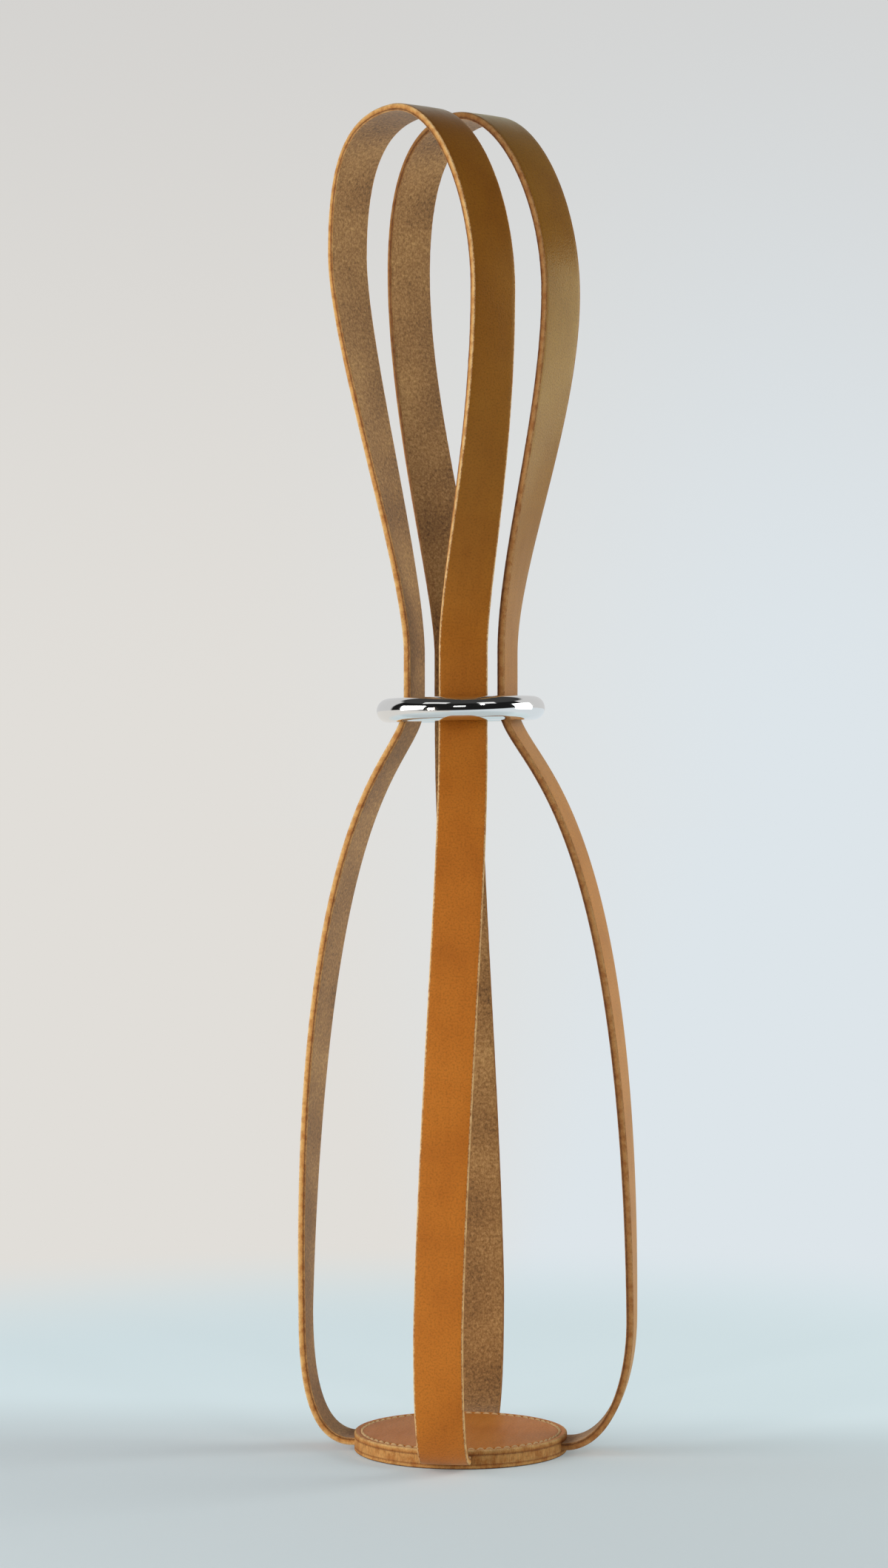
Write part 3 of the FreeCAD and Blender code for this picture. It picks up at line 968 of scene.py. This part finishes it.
def paper_floor(name):
    """A pale paper floor that fades into the background away from the object."""
    material, tree, shader, output = new_material(name)
    place = add_node(tree, "ShaderNodeTexCoord").outputs["Object"]
    weave = clouds(tree, place, scale=FLOOR_WEAVE, detail=2.0)
    set_inputs(tree, shader, {
        "Base Color": FLOOR_COLOUR,
        "Normal": bump(tree, weave, distance=0.1, strength=0.25),
        "Roughness": 0.9,
        "Specular IOR Level": 0.2,
    })
    path = add_node(tree, "ShaderNodeLightPath").outputs
    _, back, _ = add_node(tree, "ShaderNodeSeparateXYZ", {0: place}).outputs
    distance = add_node(tree, "ShaderNodeVectorMath", {0: place}, operation="LENGTH").outputs["Value"]
    direction = add_node(tree, "ShaderNodeVectorMath", {0: place}, operation="NORMALIZE").outputs[0]
    fade = smooth_range(tree, distance, *FLOOR_FADE)
    behind = smooth_range(tree, back, *FLOOR_TURN)
    front = smooth_range(tree, calculate(tree, "MULTIPLY", back, -1.0), *FLOOR_DARKENING)
    near_glow = between(tree, behind, FLOOR_GLOW_IN_FRONT, FLOOR_GLOW_BEHIND)
    glow = between(tree, fade, near_glow, 1.0)
    seen = calculate(tree, "MAXIMUM", path["Is Camera Ray"], path["Is Glossy Ray"])
    colour = mix_colours(tree, behind, FLOOR_IN_FRONT, FLOOR_BEHIND)
    colour = mix_colours(tree, fade, colour, backdrop_colour(tree, direction))
    unlit = calculate(tree, "MULTIPLY", front, path["Is Glossy Ray"])
    colour = mix_colours(tree, unlit, colour, FRONT_OF_ROOM)
    emission = add_node(tree, "ShaderNodeEmission", {"Color": colour, "Strength": 1.0})
    sockets = {0: calculate(tree, "MULTIPLY", glow, seen), 1: shader.outputs[0], 2: emission.outputs[0]}
    mix = add_node(tree, "ShaderNodeMixShader", sockets)
    set_inputs(tree, output, {"Surface": mix.outputs[0]})
    return material


def make_floor():
    """The surface that the carrier stands on."""
    reach = FLOOR_REACH
    mesh = bpy.data.meshes.new("floor")
    corners = [(-reach, -reach, 0), (reach, -reach, 0), (reach, reach, 0), (-reach, reach, 0)]
    mesh.from_pydata(corners, [], [(0, 1, 2, 3)])
    mesh.materials.append(paper_floor("floor_paper"))
    floor = bpy.data.objects.new("floor", mesh)
    floor.location.z = -FLOOR_DROP
    bpy.context.scene.collection.objects.link(floor)


def make_world():
    """A pale studio that is dark in front and overhead where shiny surfaces reflect it."""
    world = bpy.data.worlds.new("studio")
    bpy.context.scene.world = world
    world.use_nodes = True
    tree = world.node_tree
    tree.nodes.clear()
    direction = add_node(tree, "ShaderNodeTexCoord").outputs["Generated"]
    _, behind, height = add_node(tree, "ShaderNodeSeparateXYZ", {0: direction}).outputs
    path = add_node(tree, "ShaderNodeLightPath").outputs
    studio = ramp(tree, behind, ((BACK_START, FRONT_OF_ROOM), (BACK_FULL, BACK_OF_ROOM)))
    studio = mix_colours(tree, smooth_range(tree, height, *UPPER_RISE), studio, UPPER_STUDIO)
    colour = mix_colours(tree, path["Is Glossy Ray"], ROOM_LIGHT, studio)
    colour = mix_colours(tree, path["Is Camera Ray"], colour, backdrop_colour(tree, direction))
    background = add_node(tree, "ShaderNodeBackground", {"Color": colour, "Strength": 1.0})
    add_node(tree, "ShaderNodeOutputWorld", {"Surface": background.outputs[0]})


WARM_LAMP = (1.0, 0.93, 0.82)
WHITE_LAMP = (1.0, 1.0, 1.0)
COOL_LAMP = (0.95, 1.0, 0.97)
# Lamps: name, then place, aim, width and height in metres, power in watts, spread in degrees, colour
LAMPS = (
    ("left_softbox", (-0.81, -0.40, 0.40), (0, 0, 0.20), 0.64, 0.50, 4.4, 180, WHITE_LAMP),
    ("right_softbox", (0.80, 0.20, 0.37), (0, 0, 0.24), 0.53, 0.55, 4.2, 180, COOL_LAMP),
    ("front_left", (-0.55, -0.84, 0.19), (0, 0, 0.08), 0.15, 0.34, 0.90, 100, WARM_LAMP),
    ("front_high", (0.10, -1.05, 0.55), (0, 0, 0.20), 0.30, 0.14, 0.20, 120, WHITE_LAMP),
    ("front_right", (0.62, -0.78, 0.80), (0, 0, 0.06), 0.10, 0.16, 0.28, 120, WHITE_LAMP),
    ("upper_left", (-0.55, -0.70, 1.30), (0, 0, 0.25), 0.75, 0.28, 0.62, 180, WHITE_LAMP),
    ("upper_right", (0.75, -0.65, 1.15), (0, 0, 0.25), 0.50, 0.28, 0.48, 180, WHITE_LAMP),
)


def aim(thing, place, target):
    """Puts a lamp or the camera somewhere, looking at a point."""
    thing.location = place
    direction = Vector(target) - Vector(place)
    thing.rotation_euler = direction.to_track_quat("-Z", "Y").to_euler()


def make_lamps():
    """Soft lamps round the object."""
    for name, place, target, width, height, power, spread, colour in LAMPS:
        light = bpy.data.lights.new(name, "AREA")
        light.shape = "RECTANGLE"
        light.size = width
        light.size_y = height
        light.energy = power
        light.spread = math.radians(spread)
        light.color = colour
        lamp = bpy.data.objects.new(name, light)
        lamp.visible_camera = False
        bpy.context.scene.collection.objects.link(lamp)
        aim(lamp, place, target)


def make_camera():
    """The camera at the photograph's viewing angle."""
    camera = bpy.data.cameras.new("camera")
    camera.sensor_fit = "AUTO"
    camera.angle = 2 * math.atan(FRAME_HEIGHT_PX / 2 / FOCAL_PX)
    thing = bpy.data.objects.new("camera", camera)
    bpy.context.scene.collection.objects.link(thing)
    azimuth = math.radians(CAMERA_AZIMUTH)
    back = Vector((math.sin(azimuth), -math.cos(azimuth), 0))
    right = UP.cross(back)
    place = back * CAMERA_DISTANCE + UP * CAMERA_HEIGHT
    aside = (AXIS_X_PX - FRAME_WIDTH_PX / 2) / FOCAL_PX * CAMERA_DISTANCE
    drop = CAMERA_DISTANCE * math.tan(math.radians(CAMERA_PITCH))
    target = UP * (CAMERA_HEIGHT - drop) - right * aside
    aim(thing, place * MM, target * MM)
    bpy.context.scene.camera = thing


def strap_grain_and_edge(name, tones, edge_tones, shine, sheen):
    """The outer side and the cut edge of one strap, whose materials start with a name."""
    grain = grain_leather(name + "_grain", strap_coordinates, tones, shine, sheen)
    edge = edge_leather(name + "_edge", strap_coordinates, FIBRE_STRETCH, edge_tones, STRAP_SCRATCHES)
    return grain, edge


def dress_straps():
    """The two straps, each one mesh from one end in the base to the other over its handle loop."""
    flesh = flesh_leather("strap_flesh")
    looks = {
        "left_front": strap_grain_and_edge("strap", STRAP_TONES, STRAP_EDGE_TONES, shine=0.40, sheen=0.15),
        # the second strap's cut edges are a darker, painted-shade copy of the first strap's
        "back_right": strap_grain_and_edge(
            "second_strap", SECOND_STRAP_TONES, SHADED_SECOND_STRAP_EDGE_TONES, shine=0.30, sheen=0.30
        ),
    }
    for index, (strap, (first_leg, second_leg, _, handle)) in enumerate(STRAPS.items()):
        grain, edge = looks[strap]
        piece = make_strap(strap, [grain, flesh, edge], STRAP_SEED_STEP * (index + 1))
        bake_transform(piece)
        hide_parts(first_leg + "_leg", second_leg + "_leg", strap + "_loop")


def rim_leather(name, tones, depth=None):
    """The cut edge of a piece of the base."""
    return edge_leather(name, solid_coordinates, RIM_STRETCH, tones, BASE_SCRATCHES, depth)


def dress_base():
    """The base's discs, its stitching and the finish of its fillers."""
    grain = grain_leather("base_grain", solid_coordinates, BASE_TONES, shine=0.20, sheen=0.0)
    # the top disc's rim carries a painted highlight along its top corner
    top_finishes = [grain, rim_leather("base_edge", BASE_EDGE_TONES_WITH_HIGHLIGHT)]
    # the bottom disc's rim carries a painted contact shadow along its bottom
    bottom_finishes = [grain, rim_leather("under_edge", UNDER_EDGE_TONES_WITH_SHADOW)]
    bottom = make_disc(
        "base_bottom", BOTTOM_DISC_LOW.z, BOTTOM_DISC_HIGH.z, False,
        BOTTOM_GROOVE_DEPTH, bottom_finishes, BOTTOM_DISC_SEED,
    )
    top = make_disc(
        "base_top", TOP_DISC_LOW.z, TOP_DISC_HIGH.z, True,
        TOP_GROOVE_DEPTH, top_finishes, TOP_DISC_SEED,
    )
    for piece, node in ((bottom, "base_bottom_disc"), (top, "base_top_disc")):
        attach(piece, "base")
        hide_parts(node)

    thread = make_stitching(waxed_thread("thread"))
    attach(thread, "base")
    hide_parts("base_stitching")

    filler_edge = rim_leather("filler_edge", BASE_EDGE_TONES_WITH_HIGHLIGHT, FILLER_DEPTH)
    for name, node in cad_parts.items():
        if name.startswith("base_filler"):
            node.data.materials.clear()
            node.data.materials.append(filler_edge)


def dress_ring():
    """The neck ring."""
    ring = make_ring(polished_metal("ring_chrome"))
    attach(ring, "ring")
    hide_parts("neck_ring")


bpy.context.scene.view_settings.view_transform = "Standard"
make_world()
make_lamps()
make_floor()
make_camera()
dress_straps()
dress_base()
dress_ring()
